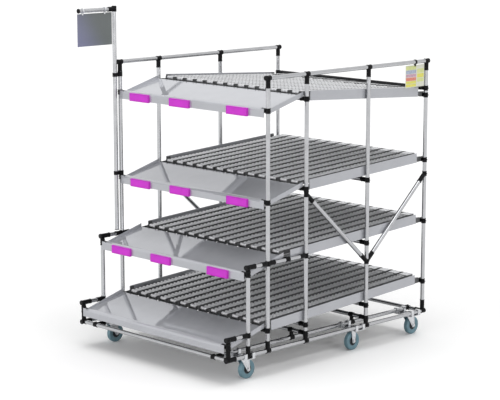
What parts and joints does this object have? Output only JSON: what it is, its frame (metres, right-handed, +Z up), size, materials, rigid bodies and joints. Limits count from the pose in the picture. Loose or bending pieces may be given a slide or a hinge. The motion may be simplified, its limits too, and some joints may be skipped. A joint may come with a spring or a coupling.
{
  "type": "flow rack",
  "caption": "Flow rack on casters: bright pipe frame with black joints, sloping roller tracks and sheet-metal pick trays on several levels, with a hanging sign and an info card.",
  "frame": {"origin": "on the floor under the middle of the rack's bounding box", "axes": "+X to the right as seen from the picking side, +Y from the picking side to the loading side, +Z up"},
  "size_m": [1.461, 1.926, 2.299],
  "materials": {
    "pipe": "bright smooth steel pipe",
    "joint": "black electro-coated cast joint",
    "black_plastic": "black moulded plastic",
    "sheet": "glossy grey sheet metal",
    "track": "zinc-plated folded steel",
    "roller": "light grey moulded plastic",
    "label": "magenta moulded plastic",
    "sign": "glossy grey sheet",
    "card": "printed card with plain colour bars",
    "wheel": "teal rubber tyre on a grey hub",
    "zinc": "bright zinc plating"
  },
  "bodies": {
    "frame": {"posts": "pipe", "top_rails": "pipe", "stub_pipes": "pipe", "base_side_pipes": "pipe", "base_cross_pipes": "pipe", "level_cross_pipes": "pipe", "brace_tubes": "pipe", "base_joints": "joint", "top_joints": "joint", "level_joints": "joint", "brace_joints": "joint", "sign_joints": "joint", "joint_screws": "zinc", "pipe_caps": "black_plastic", "level_1_tray": "sheet", "level_2_tray": "sheet", "level_3_tray": "sheet", "level_4_tray": "sheet", "level_1_side_rails": "sheet", "level_2_side_rails": "sheet", "level_3_side_rails": "sheet", "level_4_side_rails": "sheet", "level_1_tracks": "track", "level_2_tracks": "track", "level_3_tracks": "track", "level_4_tracks": "track", "level_1_rollers": "roller", "level_2_rollers": "roller", "level_3_rollers": "roller", "level_4_rollers": "roller", "track_ends": "track", "track_clips": "black_plastic", "track_bearers": "track", "rail_brackets": "track", "label_holders": "label", "sign_post": "pipe", "sign_arm": "pipe", "caster_plates": "zinc", "pipe_clamps": "zinc", "caster_bolts": "zinc", "fixed_forks": "zinc", "fixed_axles": "zinc"},
    "front_left_swivel": {"front_left_fork": "zinc", "front_left_axle": "zinc"},
    "front_left_roller_wheel": {"front_left_wheel": "wheel"},
    "front_right_swivel": {"front_right_fork": "zinc", "front_right_axle": "zinc"},
    "front_right_roller_wheel": {"front_right_wheel": "wheel"},
    "rear_left_swivel": {"rear_left_fork": "zinc", "rear_left_axle": "zinc"},
    "rear_left_roller_wheel": {"rear_left_wheel": "wheel"},
    "rear_right_swivel": {"rear_right_fork": "zinc", "rear_right_axle": "zinc"},
    "rear_right_roller_wheel": {"rear_right_wheel": "wheel"},
    "middle_left_roller_wheel": {"middle_left_wheel": "wheel"},
    "middle_right_roller_wheel": {"middle_right_wheel": "wheel"},
    "sign": {"sign_sheet": "sign", "sign_clips": "zinc"},
    "card": {"info_card": "card", "card_clip": "black_plastic"}
  },
  "joints": [
    {"name": "front_left_swivel_turn", "type": "hinge", "parent": "frame", "child": "front_left_swivel", "pos_m": [-0.64475, -0.763, 0.1412], "axis": [0, 0, 1], "continuous": true},
    {"name": "front_left_wheel_spin", "type": "hinge", "parent": "front_left_swivel", "child": "front_left_roller_wheel", "pos_m": [-0.64475, -0.719, 0.0625], "axis": [1, 0, 0], "continuous": true},
    {"name": "front_right_swivel_turn", "type": "hinge", "parent": "frame", "child": "front_right_swivel", "pos_m": [0.64475, -0.763, 0.1412], "axis": [0, 0, 1], "continuous": true},
    {"name": "front_right_wheel_spin", "type": "hinge", "parent": "front_right_swivel", "child": "front_right_roller_wheel", "pos_m": [0.64475, -0.719, 0.0625], "axis": [1, 0, 0], "continuous": true},
    {"name": "rear_left_swivel_turn", "type": "hinge", "parent": "frame", "child": "rear_left_swivel", "pos_m": [-0.64475, 0.856, 0.1412], "axis": [0, 0, 1], "continuous": true},
    {"name": "rear_left_wheel_spin", "type": "hinge", "parent": "rear_left_swivel", "child": "rear_left_roller_wheel", "pos_m": [-0.64475, 0.9, 0.0625], "axis": [1, 0, 0], "continuous": true},
    {"name": "rear_right_swivel_turn", "type": "hinge", "parent": "frame", "child": "rear_right_swivel", "pos_m": [0.64475, 0.856, 0.1412], "axis": [0, 0, 1], "continuous": true},
    {"name": "rear_right_wheel_spin", "type": "hinge", "parent": "rear_right_swivel", "child": "rear_right_roller_wheel", "pos_m": [0.64475, 0.9, 0.0625], "axis": [1, 0, 0], "continuous": true},
    {"name": "middle_left_wheel_spin", "type": "hinge", "parent": "frame", "child": "middle_left_roller_wheel", "pos_m": [-0.64475, 0.28, 0.0625], "axis": [1, 0, 0], "continuous": true},
    {"name": "middle_right_wheel_spin", "type": "hinge", "parent": "frame", "child": "middle_right_roller_wheel", "pos_m": [0.64475, 0.28, 0.0625], "axis": [1, 0, 0], "continuous": true},
    {"name": "sign_swing", "type": "hinge", "parent": "frame", "child": "sign", "pos_m": [-0.7095, -0.8055, 2.278], "axis": [0, 1, 0], "range_deg": [-70, 70]},
    {"name": "card_swing", "type": "hinge", "parent": "frame", "child": "card", "pos_m": [0.7095, 0.8205, 1.919], "axis": [0, 1, 0], "range_deg": [-70, 70]}
  ]
}
